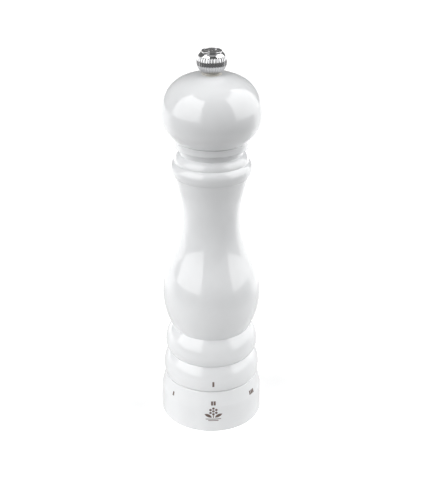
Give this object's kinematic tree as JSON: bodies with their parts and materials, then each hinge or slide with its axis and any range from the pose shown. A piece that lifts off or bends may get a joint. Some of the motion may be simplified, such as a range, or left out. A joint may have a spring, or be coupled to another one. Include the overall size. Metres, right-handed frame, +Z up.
{
  "type": "pepper mill",
  "caption": "Tall turned pepper mill with a bulb head, fluted chrome knob, waisted lacquered body and a turning base ring that sets the grind.",
  "frame": {"origin": "centre of the base ring's foot, on the table", "axes": "+Z up the mill's axis to the knob; -Y is the front, where the index mark is"},
  "size_m": [0.0592, 0.0592, 0.22],
  "materials": {
    "white_lacquer": "turned beech under a gloss white lacquer",
    "ink": "flat grey-brown print",
    "chrome": "polished chrome plate",
    "black_plastic": "moulded, satin black",
    "pale_plastic": "natural acetal, satin",
    "grinding_steel": "case-hardened, dark satin",
    "bright_steel": "drawn and zinc plated",
    "spring_steel": "drawn wire, bright",
    "brass": "machined"
  },
  "bodies": {
    "mill_body": {"body_shell": "white_lacquer", "index_mark": "ink", "mechanism_housing": "black_plastic", "housing_screws": "bright_steel", "stator": "grinding_steel", "shaft_bridge": "black_plastic", "bridge_bush": "pale_plastic", "bridge_snap_ring": "spring_steel", "ring_clip": "spring_steel", "detent_spring": "spring_steel"},
    "setting_ring": {"ring_shell": "white_lacquer", "ring_insert": "black_plastic", "base_emblem": "ink", "setting_mark_1": "ink", "setting_mark_2": "ink", "setting_mark_3": "ink", "setting_mark_4": "ink", "setting_mark_5": "ink", "setting_mark_6": "ink"},
    "adjuster": {"adjuster": "black_plastic", "adjuster_bush": "pale_plastic"},
    "shaft": {"drive_shaft": "bright_steel", "shaft_clip_lower": "spring_steel", "shaft_clip_upper": "spring_steel", "shaft_washer": "bright_steel", "rotor_spring": "spring_steel"},
    "rotor": {"rotor": "grinding_steel", "thrust_washer": "bright_steel"},
    "head": {"head_shell": "white_lacquer", "drive_plate": "bright_steel", "drive_plate_screws": "bright_steel", "head_bush": "pale_plastic"},
    "knob_lift": {"knob_washer": "pale_plastic"},
    "knob": {"knob_shell": "chrome", "knob_cap": "chrome", "knob_insert": "brass"},
    "detent": {"detent_ball": "bright_steel"}
  },
  "joints": [
    {"name": "ring_turn", "type": "hinge", "parent": "mill_body", "child": "setting_ring", "pos_m": [0, 0, 0.0129], "axis": [0, 0, 1], "range_deg": [-212, 53]},
    {"name": "adjuster_slide", "type": "slide", "parent": "mill_body", "child": "adjuster", "axis": [0, 0, 1], "range_m": [-0.00142, 0.00036]},
    {"name": "shaft_turn", "type": "hinge", "parent": "mill_body", "child": "shaft", "pos_m": [0, 0, 0.1], "axis": [0, 0, 1], "continuous": true},
    {"name": "rotor_slide", "type": "slide", "parent": "shaft", "child": "rotor", "axis": [0, 0, 1], "range_m": [-0.00142, 0.00036], "deforming": ["rotor_spring"]},
    {"name": "head_lift", "type": "slide", "parent": "shaft", "child": "head", "axis": [0, 0, 1], "range_m": [0, 0.056]},
    {"name": "knob_rise", "type": "slide", "parent": "head", "child": "knob_lift", "axis": [0, 0, 1], "range_m": [0, 0.0064]},
    {"name": "knob_turn", "type": "hinge", "parent": "knob_lift", "child": "knob", "pos_m": [0, 0, 0.214], "axis": [0, 0, 1], "range_deg": [0, 2881]},
    {"name": "detent_click", "type": "slide", "parent": "mill_body", "child": "detent", "axis": [-1, 0, 0], "range_m": [0, 0.0004]}
  ],
  "couplings": [
    {"joint": "adjuster_slide", "follows": "ring_turn", "m_per_rad": 0.00038197},
    {"joint": "rotor_slide", "follows": "ring_turn", "m_per_rad": 0.00038197},
    {"joint": "knob_turn", "follows": "knob_rise", "rad_per_m": 7854}
  ]
}
